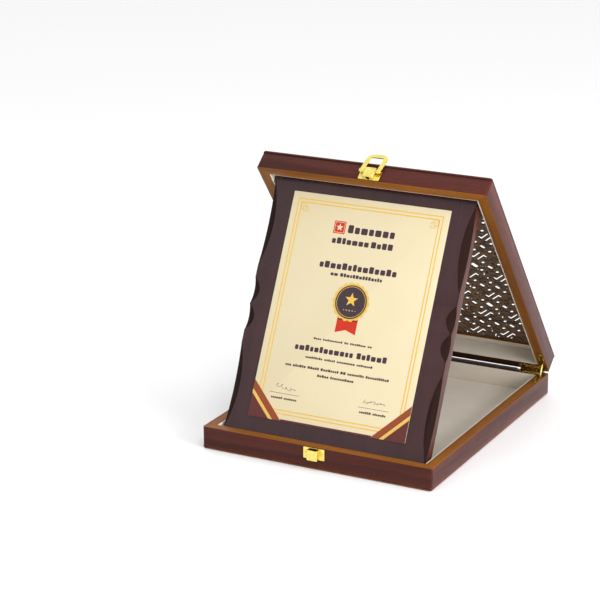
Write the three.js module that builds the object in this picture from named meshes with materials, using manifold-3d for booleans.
// A walnut presentation box standing open, with the award plaque that it stores propped up inside it.
//
// Millimetres, +Z up, the front of the box facing -Y, and the origin at the centre of the box's underside.
// The lid, the latch bail, the plaque and the two hinge stays are each built in a group of their own,
// in the pose that is simplest to draw (lid shut, plaque lying flat, bail upright), and then turned.

import * as THREE from "three";
import { mergeVertices } from "three/addons/utils/BufferGeometryUtils.js";
import Module from "manifold-3d";

const wasm = await Module();
wasm.setup();

// ---------------------------------------------------------------- driving dimensions

const BOX_WIDTH = 283; // along X
const BOX_LENGTH = 349; // along Y
const WALL = 12; // thickness of the rails
const BASE_HEIGHT = 26;
const LID_HEIGHT = 25; // from the hinge axis to the top of the shut lid
const BOTTOM_PANEL = 3;
const TOP_PANEL = 3.5;
const EDGE_ROUND = 2.5; // the outer edges of the box are rounded over
const LINING = 1.5;
const LINING_BORDER = 10; // strip of lining round the inside of the lid's panel
const BORDER_THICKNESS = 1;
const SLIT = 1; // the slit between the two rims of the shut box, which holds the hinge axis
const GAP = 0.3; // clearance between parts that are only laid or glued against each other
const FLUSH = 0.1; // how far the hinge leaves lie below the rims, and the latch plates off the wood

const LID_ANGLE = 51.3; // degrees that the lid is raised
const PLAQUE_ANGLE = 63.7; // degrees that the plaque is raised from lying flat

const BOARD_WIDTH = 250;
const BOARD_LENGTH = 312;
const BOARD_THICKNESS = 17;
const BOARD_BACK_BEVEL = 2; // eased edges of the back
const PLATE_WIDTH = 194.5; // the printed award plate
const PLATE_LENGTH = 261.5;
const PLATE_THICKNESS = 0.8;
const PLATE_FROM_BOTTOM = 30;

const HINGE_BARREL = 2.2; // radius
const PIN_RADIUS = 0.9; // of the hinge and latch pins
const BORE_RADIUS = 1.1; // of the knuckles that turn on them
const LEAF_THICKNESS = 1.2;
const STAY_RADIUS = 17; // of the curved stay, about the hinge axis
const STAY_SPAN = 105; // degrees
const STAY_CLEARANCE = 0.4; // on each side of the stay, in the slots that it slides in
const LATCH_WIDTH = 26;

// ---------------------------------------------------------------- derived places

const halfWidth = BOX_WIDTH / 2;
const halfLength = BOX_LENGTH / 2;
const innerHalfWidth = halfWidth - WALL;
const innerHalfLength = halfLength - WALL;
const axisHeight = BASE_HEIGHT + SLIT / 2;
const lidRim = SLIT / 2; // height of the lid's rim above the hinge axis, with the lid shut
const panelInside = LID_HEIGHT - TOP_PANEL;
const trayFloor = BOTTOM_PANEL + LINING;

const degrees = THREE.MathUtils.degToRad;

// ---------------------------------------------------------------- finishes

function finish(color, roughness, metalness = 0) {
  return () => new THREE.MeshStandardMaterial({ color, roughness, metalness });
}
const walnut = finish(0x54301f, 0.4);
const lattice = finish(0x4a3325, 0.6);
const cream = finish(0xd8d0c0, 0.9);
const plum = finish(0x4e3e42, 0.3);
const ivory = finish(0xeadeb8, 0.35);
const brass = finish(0xe6cf5a, 0.25, 1);

// ---------------------------------------------------------------- shape helpers

function solidOf(geometry) {
  const bare = geometry.clone();
  bare.deleteAttribute("normal");
  bare.deleteAttribute("uv");
  const merged = mergeVertices(bare, 1e-4);
  const vertProperties = new Float32Array(merged.attributes.position.array);
  const triVerts = new Uint32Array(merged.index.array);
  return new wasm.Manifold(new wasm.Mesh({ numProp: 3, vertProperties, triVerts }));
}

function geometryOf(solid) {
  const mesh = solid.getMesh();
  const geometry = new THREE.BufferGeometry();
  geometry.setAttribute("position", new THREE.BufferAttribute(mesh.vertProperties, 3));
  geometry.setIndex(new THREE.BufferAttribute(mesh.triVerts, 1));
  const faceted = geometry.toNonIndexed();
  faceted.computeVertexNormals();
  return faceted;
}

function join(first, ...others) {
  return geometryOf(others.reduce((all, other) => all.add(solidOf(other)), solidOf(first)));
}

function cut(blank, ...cutters) {
  return geometryOf(cutters.reduce((rest, cutter) => rest.subtract(solidOf(cutter)), solidOf(blank)));
}

function common(first, ...others) {
  return geometryOf(others.reduce((all, other) => all.intersect(solidOf(other)), solidOf(first)));
}

// A box between two values on each axis, given in either order.
function block([x0, x1], [y0, y1], [z0, z1]) {
  const box = new THREE.BoxGeometry(Math.abs(x1 - x0), Math.abs(y1 - y0), Math.abs(z1 - z0));
  return box.translate((x0 + x1) / 2, (y0 + y1) / 2, (z0 + z1) / 2);
}

// A flat outline in X and Y, raised along Z.
function raised(shape, [z0, z1]) {
  return new THREE.ExtrudeGeometry(shape, { depth: z1 - z0, bevelEnabled: false }).translate(0, 0, z0);
}

// A round bar along X.
function bar(radius, [x0, x1], sides = 20) {
  const turned = new THREE.CylinderGeometry(radius, radius, Math.abs(x1 - x0), sides).rotateZ(Math.PI / 2);
  return turned.translate((x0 + x1) / 2, 0, 0);
}

function outline(points) {
  return new THREE.Shape(points.map(([x, y]) => new THREE.Vector2(x, y)));
}

// Points on an arc about (x, y), from one angle to another in degrees.
function arc(x, y, radius, from, to, steps = 5) {
  return Array.from({ length: steps + 1 }, (_, step) => {
    const angle = degrees(from + ((to - from) * step) / steps);
    return [x + radius * Math.cos(angle), y + radius * Math.sin(angle)];
  });
}

function roundedRectangle(width, height, radius, arcSteps = 3) {
  const x = width / 2 - radius;
  const y = height / 2 - radius;
  return outline([
    ...arc(x, -y, radius, -90, 0, arcSteps),
    ...arc(x, y, radius, 0, 90, arcSteps),
    ...arc(-x, y, radius, 90, 180, arcSteps),
    ...arc(-x, -y, radius, 180, 270, arcSteps),
  ]);
}

// The space inside the rounded outer edges of one half of the box. The broad face is at z = 0 and the
// body rises from it, far past the rim, so only the upright edges and those of the broad face are round.
function roundedEnvelope() {
  const tall = 4 * BASE_HEIGHT;
  const plan = raised(roundedRectangle(BOX_WIDTH, BOX_LENGTH, EDGE_ROUND), [-1, tall]);
  const endView = raised(roundedRectangle(BOX_WIDTH, 2 * tall, EDGE_ROUND), [-BOX_LENGTH, BOX_LENGTH]);
  const sideView = raised(roundedRectangle(BOX_LENGTH, 2 * tall, EDGE_ROUND), [-BOX_WIDTH, BOX_WIDTH]);
  endView.rotateX(Math.PI / 2).translate(0, 0, tall);
  sideView.rotateX(Math.PI / 2).rotateZ(Math.PI / 2).translate(0, 0, tall);
  return common(plan, endView, sideView);
}

function meshOf(name, geometry, material) {
  const mesh = new THREE.Mesh(geometry, material());
  mesh.name = name;
  return mesh;
}

// ---------------------------------------------------------------- rails, panels and linings

// One mitred rail of a frame centred on the origin. side is front, back, left or right, and mitre is the
// clearance in the corner joints.
function railBlank(side, [z0, z1], mitre) {
  const alongX = side === "front" || side === "back";
  const sign = side === "back" || side === "right" ? 1 : -1;
  const halfRun = alongX ? halfWidth : halfLength;
  const outer = alongX ? halfLength : halfWidth;
  const points = [
    [-halfRun + mitre, outer],
    [-halfRun + mitre + WALL, outer - WALL],
    [halfRun - mitre - WALL, outer - WALL],
    [halfRun - mitre, outer],
  ].map(([run, across]) => (alongX ? [run, sign * across] : [sign * across, run]));
  return raised(outline(points), [z0, z1]);
}

// The four strips of lining on the inner faces of the rails, standing off by clear.
function liningStrips(prefix, [z0, z1], clear) {
  const x1 = innerHalfWidth - clear;
  const y1 = innerHalfLength - clear;
  const sideEnd = y1 - LINING - clear;
  return [
    meshOf(`${prefix}_lining_front`, block([-x1, x1], [-y1, -y1 + LINING], [z0, z1]), cream),
    meshOf(`${prefix}_lining_back`, block([-x1, x1], [y1 - LINING, y1], [z0, z1]), cream),
    meshOf(`${prefix}_lining_left`, block([-x1, -x1 + LINING], [-sideEnd, sideEnd], [z0, z1]), cream),
    meshOf(`${prefix}_lining_right`, block([x1 - LINING, x1], [-sideEnd, sideEnd], [z0, z1]), cream),
  ];
}

// A pointed slot in the lattice: a diamond with its long axis turned by angle.
function diamond(x, y, long, wide, angle) {
  const corners = [[long / 2, 0], [0, wide / 2], [-long / 2, 0], [0, -wide / 2]];
  const centre = new THREE.Vector2(x, y);
  const origin = new THREE.Vector2();
  const points = corners.map(([along, across]) => new THREE.Vector2(along, across));
  return new THREE.Path(points.map((point) => point.rotateAround(origin, angle).add(centre)));
}

const MEDALLION_RADIUS = 34;
const ROSETTE_RADIUS = 60; // of the ring of petals round the medallion
const LATTICE_BORDER = 30; // plain border of the panel
const SLOT_PITCH = 20;
const SLOT_LONG = 13;
const SLOT_WIDE = 5;
const PETALS = 20;
const PETAL_LONG = 15.6;
const PETAL_MIDDLE = 48; // distance of the petals' middles from the centre
const MEDALLION_THICKNESS = 0.8;

// The lid's panel, pierced with slots that lean left and right by turns and a ring of petals.
function latticePanel() {
  const panel = roundedRectangle(BOX_WIDTH, BOX_LENGTH, EDGE_ROUND);
  const columns = Math.floor((BOX_WIDTH - 2 * LATTICE_BORDER) / SLOT_PITCH);
  const rows = Math.floor((BOX_LENGTH - 2 * LATTICE_BORDER) / SLOT_PITCH);
  for (let column = 0; column < columns; column++) {
    for (let row = 0; row < rows; row++) {
      const x = (column - (columns - 1) / 2) * SLOT_PITCH;
      const y = (row - (rows - 1) / 2) * SLOT_PITCH;
      if (Math.hypot(x, y) < ROSETTE_RADIUS + SLOT_LONG / 2) continue;
      const lean = degrees((column + row) % 2 ? 45 : -45);
      panel.holes.push(diamond(x, y, SLOT_LONG, SLOT_WIDE, lean));
    }
  }
  for (let petal = 0; petal < PETALS; petal++) {
    const angle = (petal / PETALS) * 2 * Math.PI;
    const [x, y] = [PETAL_MIDDLE * Math.cos(angle), PETAL_MIDDLE * Math.sin(angle)];
    panel.holes.push(diamond(x, y, PETAL_LONG, SLOT_WIDE, angle));
  }
  return raised(panel, [0, TOP_PANEL]);
}

// ---------------------------------------------------------------- screws

const SCREW_HEAD = { radius: 1.9, flat: 1.5, height: 0.45 };
const SCREW_SHANK = { radius: 0.9, length: 0.9 };
const SCREW_SLOT = { wide: 0.5, bottom: 0.18 };
const SCREW_LIFT = 0.05; // of a head off the sheet metal under it

// A small slotted screw with its head above z = 0 and a short shank below it.
function screw(slotAngle) {
  const { radius, flat, height } = SCREW_HEAD;
  const profile = [
    [0, -SCREW_SHANK.length],
    [SCREW_SHANK.radius, -SCREW_SHANK.length],
    [SCREW_SHANK.radius, 0],
    [radius, 0],
    [flat, height],
    [0, height],
  ].map(([r, z]) => new THREE.Vector2(r, z));
  const turned = new THREE.LatheGeometry(profile, 14).rotateX(Math.PI / 2);
  const { wide, bottom } = SCREW_SLOT;
  const slot = block([-2 * radius, 2 * radius], [-wide / 2, wide / 2], [bottom, 2 * height]);
  return cut(turned, slot.rotateZ(slotAngle));
}

function placedScrew(name, slotAngle, position, turn = 0) {
  const mesh = meshOf(name, screw(slotAngle), brass);
  mesh.position.set(...position);
  mesh.rotation.x = turn;
  return mesh;
}

// ---------------------------------------------------------------- hinges

// A hinge's leaves, pockets and stay are drawn from the hinge axis: x across the box, y towards the back
// from the axis, z up from it. hand is 1 for the right hinge and -1 for the left, and up is 1 for the
// lid's leaf and -1 for the base's.
const LEAF = { inner: 101.5, outer: 140, front: -40, back: -2.8, legBack: 8.8, legSide: 6.6 };
const KNUCKLES = [[105, 114], [114.4, 125.6], [126, 135]];
const STAY_X = LEAF.outer - LEAF.legSide / 2;
const STAY_WIDE = 4;
const STAY_THICK = 1.4;
const LEAF_SCREWS = [[106, -7.2], [STAY_X, -35]];
const WELD = 0.1; // how far two shapes that are joined run into each other

function leafOutline(hand, grow) {
  const { inner, outer, front, back, legBack, legSide } = LEAF;
  const corners = [
    [inner - grow, back + grow],
    [outer + grow, back + grow],
    [outer + grow, front - grow],
    [outer - legSide - grow, front - grow],
    [outer - legSide - grow, back - legBack - grow],
    [inner - grow, back - legBack - grow],
  ];
  return outline(corners.map(([x, y]) => [hand * x, y]));
}

// A ring-shaped sector in the plane across X, from one angle above the forward direction to another.
function sector(x, thickness, inner, outer, from, to) {
  const steps = Math.ceil((to - from) / 9);
  const points = [];
  for (let step = 0; step <= steps; step++) {
    const angle = degrees(from + ((to - from) * step) / steps);
    points.push([-outer * Math.cos(angle), outer * Math.sin(angle)]);
  }
  for (let step = steps; step >= 0; step--) {
    const angle = degrees(from + ((to - from) * step) / steps);
    points.push([-inner * Math.cos(angle), inner * Math.sin(angle)]);
  }
  const ring = raised(outline(points), [-thickness / 2, thickness / 2]);
  return ring.rotateX(Math.PI / 2).rotateZ(Math.PI / 2).translate(x, 0, 0);
}

// The leaf lies in its rim, just under flush, with its knuckles on the axis.
function hingeLeaf(hand, up) {
  const nearFace = SLIT / 2 + FLUSH;
  const levels = up > 0 ? [nearFace, nearFace + LEAF_THICKNESS] : [-nearFace - LEAF_THICKNESS, -nearFace];
  const plate = leafOutline(hand, 0);
  for (const [x, y] of LEAF_SCREWS) {
    const hole = new THREE.Path().absarc(hand * x, y, SCREW_SHANK.radius + GAP, 0, 2 * Math.PI);
    plate.holes.push(new THREE.Path(hole.getPoints(5)));
  }
  const halfHole = STAY_THICK / 2 + STAY_CLEARANCE;
  const holeReach = STAY_WIDE / 2 + 3 * STAY_CLEARANCE;
  const stayHole = block(
    [hand * (STAY_X - halfHole), hand * (STAY_X + halfHole)],
    [-STAY_RADIUS - holeReach, -STAY_RADIUS + holeReach],
    [-2 * nearFace - LEAF_THICKNESS, 2 * nearFace + LEAF_THICKNESS],
  );
  const own = KNUCKLES.filter((_, index) => (index === 1) === up > 0);
  const knuckles = own.flatMap(([x0, x1]) => [
    bar(HINGE_BARREL, [hand * x0, hand * x1]),
    block([hand * x0, hand * x1], [LEAF.back - WELD, 0], levels),
  ]);
  const bore = bar(BORE_RADIUS, [hand * LEAF.inner, hand * LEAF.outer], 14);
  return cut(join(raised(plate, levels), ...knuckles), bore, stayHole);
}

// What the hinges take out of the rails: the leaf's pocket, the notch round the barrel and the slot in
// which the stay slides.
function hingePockets(up) {
  const depth = SLIT / 2 + LEAF_THICKNESS + GAP;
  const past = 1;
  const notch = HINGE_BARREL + 2 * GAP;
  const [x0, x1] = [KNUCKLES[0][0] - GAP, KNUCKLES[2][1] + GAP];
  return [-1, 1].flatMap((hand) => [
    raised(leafOutline(hand, GAP), up > 0 ? [-past, depth] : [-depth, past]),
    block([hand * x0, hand * x1], [-notch, notch], up > 0 ? [-past, notch] : [-notch, past]),
    sector(
      hand * STAY_X,
      STAY_THICK + 2 * STAY_CLEARANCE,
      STAY_RADIUS - STAY_WIDE / 2 - 2 * GAP,
      STAY_RADIUS + STAY_WIDE / 2 + 2 * GAP,
      ...(up > 0 ? [-3, 58] : [-58, 3]),
    ),
  ]);
}

// ---------------------------------------------------------------- base

function base() {
  const group = new THREE.Group();
  const envelope = roundedEnvelope();
  const pockets = hingePockets(-1).map((pocket) => pocket.translate(0, halfLength, axisHeight));
  for (const side of ["front", "back", "left", "right"]) {
    const blank = common(railBlank(side, [BOTTOM_PANEL, BASE_HEIGHT], 0), envelope);
    const rail = side === "front" ? blank : cut(blank, ...pockets);
    group.add(meshOf(`base_rail_${side}`, rail, walnut));
  }
  const plan = roundedRectangle(BOX_WIDTH, BOX_LENGTH, EDGE_ROUND);
  group.add(meshOf("base_bottom_panel", common(raised(plan, [0, BOTTOM_PANEL]), envelope), walnut));
  const floor = block(
    [-innerHalfWidth, innerHalfWidth],
    [-innerHalfLength, innerHalfLength],
    [BOTTOM_PANEL, trayFloor],
  );
  group.add(meshOf("base_lining_floor", floor, cream));
  group.add(...liningStrips("base", [trayFloor, BASE_HEIGHT - GAP], 0));
  return group;
}

// ---------------------------------------------------------------- lid

function lid() {
  const group = new THREE.Group();
  group.position.set(0, halfLength, axisHeight);
  group.rotation.x = -degrees(LID_ANGLE);
  const body = new THREE.Group();
  body.position.y = -halfLength;
  group.add(body);

  const envelope = roundedEnvelope().rotateX(Math.PI).translate(0, 0, LID_HEIGHT);
  const pockets = hingePockets(1).map((pocket) => pocket.translate(0, halfLength, 0));
  for (const side of ["front", "back", "left", "right"]) {
    const blank = common(railBlank(side, [lidRim, panelInside - GAP], GAP / 2), envelope);
    const rail = side === "front" ? blank : cut(blank, ...pockets);
    body.add(meshOf(`lid_rail_${side}`, rail, walnut));
  }
  const panel = common(latticePanel().translate(0, 0, panelInside), envelope);
  body.add(meshOf("lid_lattice_panel", panel, lattice));

  const disc = new THREE.CylinderGeometry(MEDALLION_RADIUS, MEDALLION_RADIUS, MEDALLION_THICKNESS, 40);
  disc.rotateX(Math.PI / 2).translate(0, 0, LID_HEIGHT + GAP + MEDALLION_THICKNESS / 2);
  body.add(meshOf("lid_medallion", disc, ivory));

  const borderTop = panelInside - GAP;
  const borderBottom = borderTop - BORDER_THICKNESS;
  const x = innerHalfWidth - GAP;
  const y = innerHalfLength - GAP;
  const border = cut(
    block([-x, x], [-y, y], [borderBottom, borderTop]),
    block([LINING_BORDER - x, x - LINING_BORDER], [LINING_BORDER - y, y - LINING_BORDER], [0, LID_HEIGHT]),
  );
  body.add(meshOf("lid_lining_border", border, cream));
  body.add(...liningStrips("lid", [lidRim + GAP, borderBottom - GAP], GAP));
  return group;
}

// ---------------------------------------------------------------- hinges in place

function hinge(name, hand) {
  const group = new THREE.Group();
  group.position.set(0, halfLength, axisHeight);
  group.add(meshOf(`${name}_base_leaf`, hingeLeaf(hand, -1), brass));
  const pin = bar(PIN_RADIUS, [hand * KNUCKLES[0][0], hand * KNUCKLES[2][1]], 12);
  group.add(meshOf(`${name}_pin`, pin, brass));

  const onLid = new THREE.Group();
  onLid.rotation.x = -degrees(LID_ANGLE);
  onLid.add(meshOf(`${name}_lid_leaf`, hingeLeaf(hand, 1), brass));
  group.add(onLid);

  const leafFace = SLIT / 2 + FLUSH - SCREW_LIFT;
  LEAF_SCREWS.forEach(([x, y], index) => {
    const slotAngle = 0.6 + 1.1 * index;
    const number = index + 1;
    group.add(placedScrew(`${name}_base_screw_${number}`, slotAngle, [hand * x, y, -leafFace]));
    onLid.add(placedScrew(`${name}_lid_screw_${number}`, slotAngle, [hand * x, y, leafFace], Math.PI));
  });

  const stay = sector(
    hand * STAY_X,
    STAY_THICK,
    STAY_RADIUS - STAY_WIDE / 2,
    STAY_RADIUS + STAY_WIDE / 2,
    (LID_ANGLE - STAY_SPAN) / 2,
    (LID_ANGLE + STAY_SPAN) / 2,
  );
  group.add(meshOf(`${name}_stay`, stay, brass));
  return group;
}

// ---------------------------------------------------------------- latch

const LATCH = {
  plate: 0.8, // sheet thickness
  plateHeight: 13.2,
  mouthShare: 0.6, // of the plate's height, is open behind the casing
  casing: 16, // width of the raised casing on the lid
  casingOut: 6.2,
  pivotOut: 4.2, // of the bail's pivot, in front of the lid's face
  pivotUp: 10, // above the hinge axis, with the lid shut
  bailLean: 13.5, // degrees past upright, where the open bail rests on the lid's rounded edge
  bailReach: 31,
  bailStrip: 4.6,
  bailThick: 1.6,
  bailCorner: 10, // radius of the bow's corners
  bailBarrel: 2,
  hookWidth: 14.6,
  hookOut: 6.5,
  hookDrop: 1.2, // the hook sits this much lower than its plate
  screwAt: 10.4,
  screwUp: 4, // above the lower edge of the lid's plate
};

// A sheet folded to a channel: open towards the box, closed outwards (-Y), and raised along Z.
function channel(width, out, sheet, [z0, z1]) {
  const half = width / 2;
  const section = outline([
    [-half, 0], [-half, -out], [half, -out], [half, 0],
    [half - sheet, 0], [half - sheet, -out + sheet], [-half + sheet, -out + sheet], [-half + sheet, 0],
  ]);
  return raised(section, [z0, z1]);
}

function screwHoles(height) {
  return [-1, 1].map((hand) => {
    const radius = SCREW_SHANK.radius + GAP;
    const drill = new THREE.CylinderGeometry(radius, radius, 4 * LATCH.plate, 12);
    return drill.translate(hand * LATCH.screwAt, 0, height);
  });
}

// The lid's latch plate with its casing, drawn on the lid's front face (y = 0).
function latchPlate() {
  const half = LATCH_WIDTH / 2;
  const bottom = lidRim + GAP;
  const plate = block([-half, half], [-LATCH.plate, 0], [bottom, bottom + LATCH.plateHeight]);
  const casing = channel(LATCH.casing, LATCH.casingOut, LATCH.plate, [bottom, bottom + LATCH.plateHeight]);
  const hole = bar(BORE_RADIUS, [-half, half], 14).translate(0, -LATCH.pivotOut, LATCH.pivotUp);
  const inside = LATCH.casing / 2 - LATCH.plate;
  const mouthTop = bottom + LATCH.mouthShare * LATCH.plateHeight;
  const mouth = block([-inside, inside], [-2 * LATCH.plate, 1], [bottom - 1, mouthTop]);
  return cut(join(plate, casing), hole, mouth, ...screwHoles(bottom + LATCH.screwUp));
}

// The bail, standing up from its pivot: two legs joined by a rounded bow, with a knuckle on each leg.
function bail() {
  const { bailReach, bailStrip, bailThick, bailCorner, bailBarrel, casing } = LATCH;
  const half = LATCH_WIDTH / 2;
  const outer = outline([
    [-half, 0],
    [half, 0],
    ...arc(half - bailCorner, bailReach - bailCorner, bailCorner, 0, 90),
    ...arc(bailCorner - half, bailReach - bailCorner, bailCorner, 90, 180),
  ]);
  const inner = half - bailStrip;
  const top = bailReach - 1.1 * bailStrip;
  const nick = 1.5; // the loop's two upper corners are cut off
  const loop = outline([
    [-inner, -1],
    [inner, -1],
    [inner, top - nick],
    [inner - nick, top],
    [nick - inner, top],
    [-inner, top - nick],
  ]);
  const strip = cut(
    raised(outer, [-bailThick / 2, bailThick / 2]),
    raised(loop, [-bailThick, bailThick]),
  ).rotateX(Math.PI / 2);
  const legInside = casing / 2 + STAY_CLEARANCE;
  const knuckles = [-1, 1].map((hand) => bar(bailBarrel, [hand * legInside, hand * half], 16));
  return cut(join(strip, ...knuckles), bar(BORE_RADIUS, [-2 * half, 2 * half], 14));
}

function lidLatch() {
  const group = new THREE.Group();
  group.position.set(0, halfLength, axisHeight);
  group.rotation.x = -degrees(LID_ANGLE);
  const face = new THREE.Group();
  face.position.y = -BOX_LENGTH - FLUSH;
  group.add(face);
  face.add(meshOf("latch_plate", latchPlate(), brass));
  const half = LATCH_WIDTH / 2;
  const pin = meshOf("latch_pin", bar(PIN_RADIUS, [-half - GAP, half + GAP], 12), brass);
  pin.position.set(0, -LATCH.pivotOut, LATCH.pivotUp);
  face.add(pin);
  const turningBail = meshOf("latch_bail", bail(), brass);
  turningBail.position.set(0, -LATCH.pivotOut, LATCH.pivotUp);
  turningBail.rotation.x = -degrees(LATCH.bailLean);
  face.add(turningBail);
  [-1, 1].forEach((hand, index) => {
    const place = [hand * LATCH.screwAt, -LATCH.plate - SCREW_LIFT, lidRim + GAP + LATCH.screwUp];
    face.add(placedScrew(`latch_plate_screw_${index + 1}`, 0.5 + index, place, Math.PI / 2));
  });
  return group;
}

// The keeper on the base's front face, whose open-topped hook the shut bail loops round.
function keeper() {
  const group = new THREE.Group();
  group.position.y = -halfLength - FLUSH;
  const half = LATCH_WIDTH / 2;
  const top = BASE_HEIGHT - 2 * GAP;
  const bottom = top - LATCH.plateHeight;
  const plate = block([-half, half], [-LATCH.plate, 0], [bottom, top]);
  const hookTop = top - LATCH.hookDrop;
  const hook = channel(LATCH.hookWidth, LATCH.hookOut, LATCH.plate, [hookTop - LATCH.plateHeight, hookTop]);
  const inside = LATCH.hookWidth / 2 - LATCH.plate;
  const mouthBottom = top - LATCH.mouthShare * LATCH.plateHeight;
  const mouth = block([-inside, inside], [-2 * LATCH.plate, 1], [mouthBottom, top + 1]);
  const middle = (top + bottom) / 2;
  group.add(meshOf("latch_keeper", cut(join(plate, hook), mouth, ...screwHoles(middle)), brass));
  [-1, 1].forEach((hand, index) => {
    const place = [hand * LATCH.screwAt, -LATCH.plate - SCREW_LIFT, middle];
    group.add(placedScrew(`latch_keeper_screw_${index + 1}`, 0.3 + 1.3 * index, place, Math.PI / 2));
  });
  return group;
}

// ---------------------------------------------------------------- plaque

// The scoops carved along each long front edge, from the bottom end up to the middle of the board: where
// each starts and ends. The upper half mirrors them.
const SCOOPS = [[12, 111], [125, 156]];
const SCOOP_WIDE = 9; // into the face, at the middle of a scoop
const SCOOP_DEEP = 5; // into the side
const FRONT_BEVEL = 0.6; // the sharp edge is eased between the scoops

// How far the front edge is cut back at height y along the board, as a share of the full scoop.
function scoopAt(y) {
  const mirrored = Math.min(y, BOARD_LENGTH - y);
  for (const [start, end] of SCOOPS) {
    const along = (2 * mirrored - start - end) / (end - start);
    if (Math.abs(along) < 1) return 1 - along * along;
  }
  return 0;
}

// The board lying flat, bottom end at y = 0 and back at z = 0: cross-sections joined end to end.
function board() {
  const stations = [0, BOARD_BACK_BEVEL];
  for (const [start, end] of SCOOPS) {
    const steps = Math.round((end - start) / 8) + 2;
    for (let step = 0; step <= steps; step++) stations.push(start + ((end - start) * step) / steps);
  }
  const upper = stations.map((y) => BOARD_LENGTH - y).reverse();
  const all = [...stations, ...upper];
  const half = BOARD_WIDTH / 2;
  const rings = all.map((y) => {
    const share = scoopAt(y);
    const inward = FRONT_BEVEL + (SCOOP_WIDE - FRONT_BEVEL) * share;
    const down = FRONT_BEVEL + (SCOOP_DEEP - FRONT_BEVEL) * share;
    const back = y === 0 || y === BOARD_LENGTH ? BOARD_BACK_BEVEL : 0;
    return [
      [-half + BOARD_BACK_BEVEL, back],
      [half - BOARD_BACK_BEVEL, back],
      [half, BOARD_BACK_BEVEL],
      [half, BOARD_THICKNESS - down],
      [half - inward, BOARD_THICKNESS],
      [-half + inward, BOARD_THICKNESS],
      [-half, BOARD_THICKNESS - down],
      [-half, BOARD_BACK_BEVEL],
    ].map(([x, z]) => [x, y, z]);
  });
  return lofted(rings);
}

// A closed solid through rings of equally many points, with flat fans over its two ends. Each ring runs
// anticlockwise as seen from the start of the loft.
function lofted(rings) {
  const count = rings[0].length;
  const triangles = [];
  const last = rings.length - 1;
  for (let ring = 0; ring < last; ring++) {
    for (let point = 0; point < count; point++) {
      const next = (point + 1) % count;
      const [a, b] = [rings[ring][point], rings[ring][next]];
      const [c, d] = [rings[ring + 1][next], rings[ring + 1][point]];
      triangles.push(a, d, c, a, c, b);
    }
  }
  for (let point = 1; point < count - 1; point++) {
    triangles.push(rings[0][0], rings[0][point], rings[0][point + 1]);
    triangles.push(rings[last][0], rings[last][point + 1], rings[last][point]);
  }
  const geometry = new THREE.BufferGeometry();
  geometry.setAttribute("position", new THREE.Float32BufferAttribute(triangles.flat(), 3));
  geometry.computeVertexNormals();
  return geometry;
}

// The plaque turns about one fixed point, the one that carries it in a single turn from standing, with
// its foot against the tray's front lining, to lying flat on the tray's floor.
function plaquePivot() {
  const angle = degrees(PLAQUE_ANGLE);
  const wallFace = -innerHalfLength + LINING + GAP;
  const standing = {
    y: wallFace + BOARD_THICKNESS * Math.sin(angle),
    z: trayFloor + GAP - BOARD_BACK_BEVEL * Math.cos(angle),
  };
  const flat = { y: innerHalfLength - LINING - GAP - BOARD_LENGTH, z: trayFloor + GAP };
  const reach = 0.5 / Math.tan(angle / 2);
  return {
    standing,
    y: (standing.y + flat.y) / 2 + reach * (flat.z - standing.z),
    z: (standing.z + flat.z) / 2 - reach * (flat.y - standing.y),
  };
}

function plaque() {
  const group = new THREE.Group();
  const { standing } = plaquePivot();
  group.position.set(0, standing.y, standing.z);
  group.rotation.x = degrees(PLAQUE_ANGLE);
  group.add(meshOf("plaque_board", board(), plum));
  const half = PLATE_WIDTH / 2;
  const bottom = BOARD_THICKNESS + GAP;
  const plate = block(
    [-half, half],
    [PLATE_FROM_BOTTOM, PLATE_FROM_BOTTOM + PLATE_LENGTH],
    [bottom, bottom + PLATE_THICKNESS],
  );
  group.add(meshOf("award_plate", plate, ivory));
  return group;
}

// ---------------------------------------------------------------- assembly

const group = new THREE.Group();
group.add(base(), lid(), hinge("hinge_left", -1), hinge("hinge_right", 1), lidLatch(), keeper(), plaque());

export default group;
